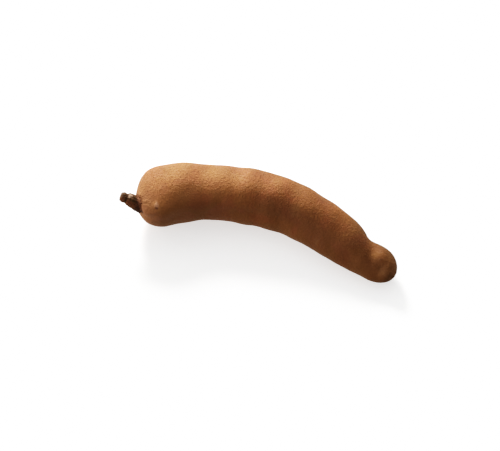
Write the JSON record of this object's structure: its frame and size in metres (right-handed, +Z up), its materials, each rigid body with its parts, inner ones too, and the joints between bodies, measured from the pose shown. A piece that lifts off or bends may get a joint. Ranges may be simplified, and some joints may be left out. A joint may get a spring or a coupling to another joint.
{
  "type": "tamarind pod",
  "caption": "Whole unshelled tamarind pod lying on its side: a curved brown fruit pod with a blunt end lobe and a short woody stalk stub.",
  "frame": {"origin": "middle of the pod's footprint, on the surface it rests on", "axes": "+Z up from the resting surface; +X along the pod's chord from the stalk to the free end; +Y towards the outer (convex) side of its curve"},
  "size_m": [0.1288, 0.0458, 0.0279],
  "materials": {
    "pod_skin": "matte",
    "stalk_wood": "matte"
  },
  "bodies": {
    "root": {"pod": "pod_skin", "stem": "stalk_wood"}
  },
  "joints": []
}
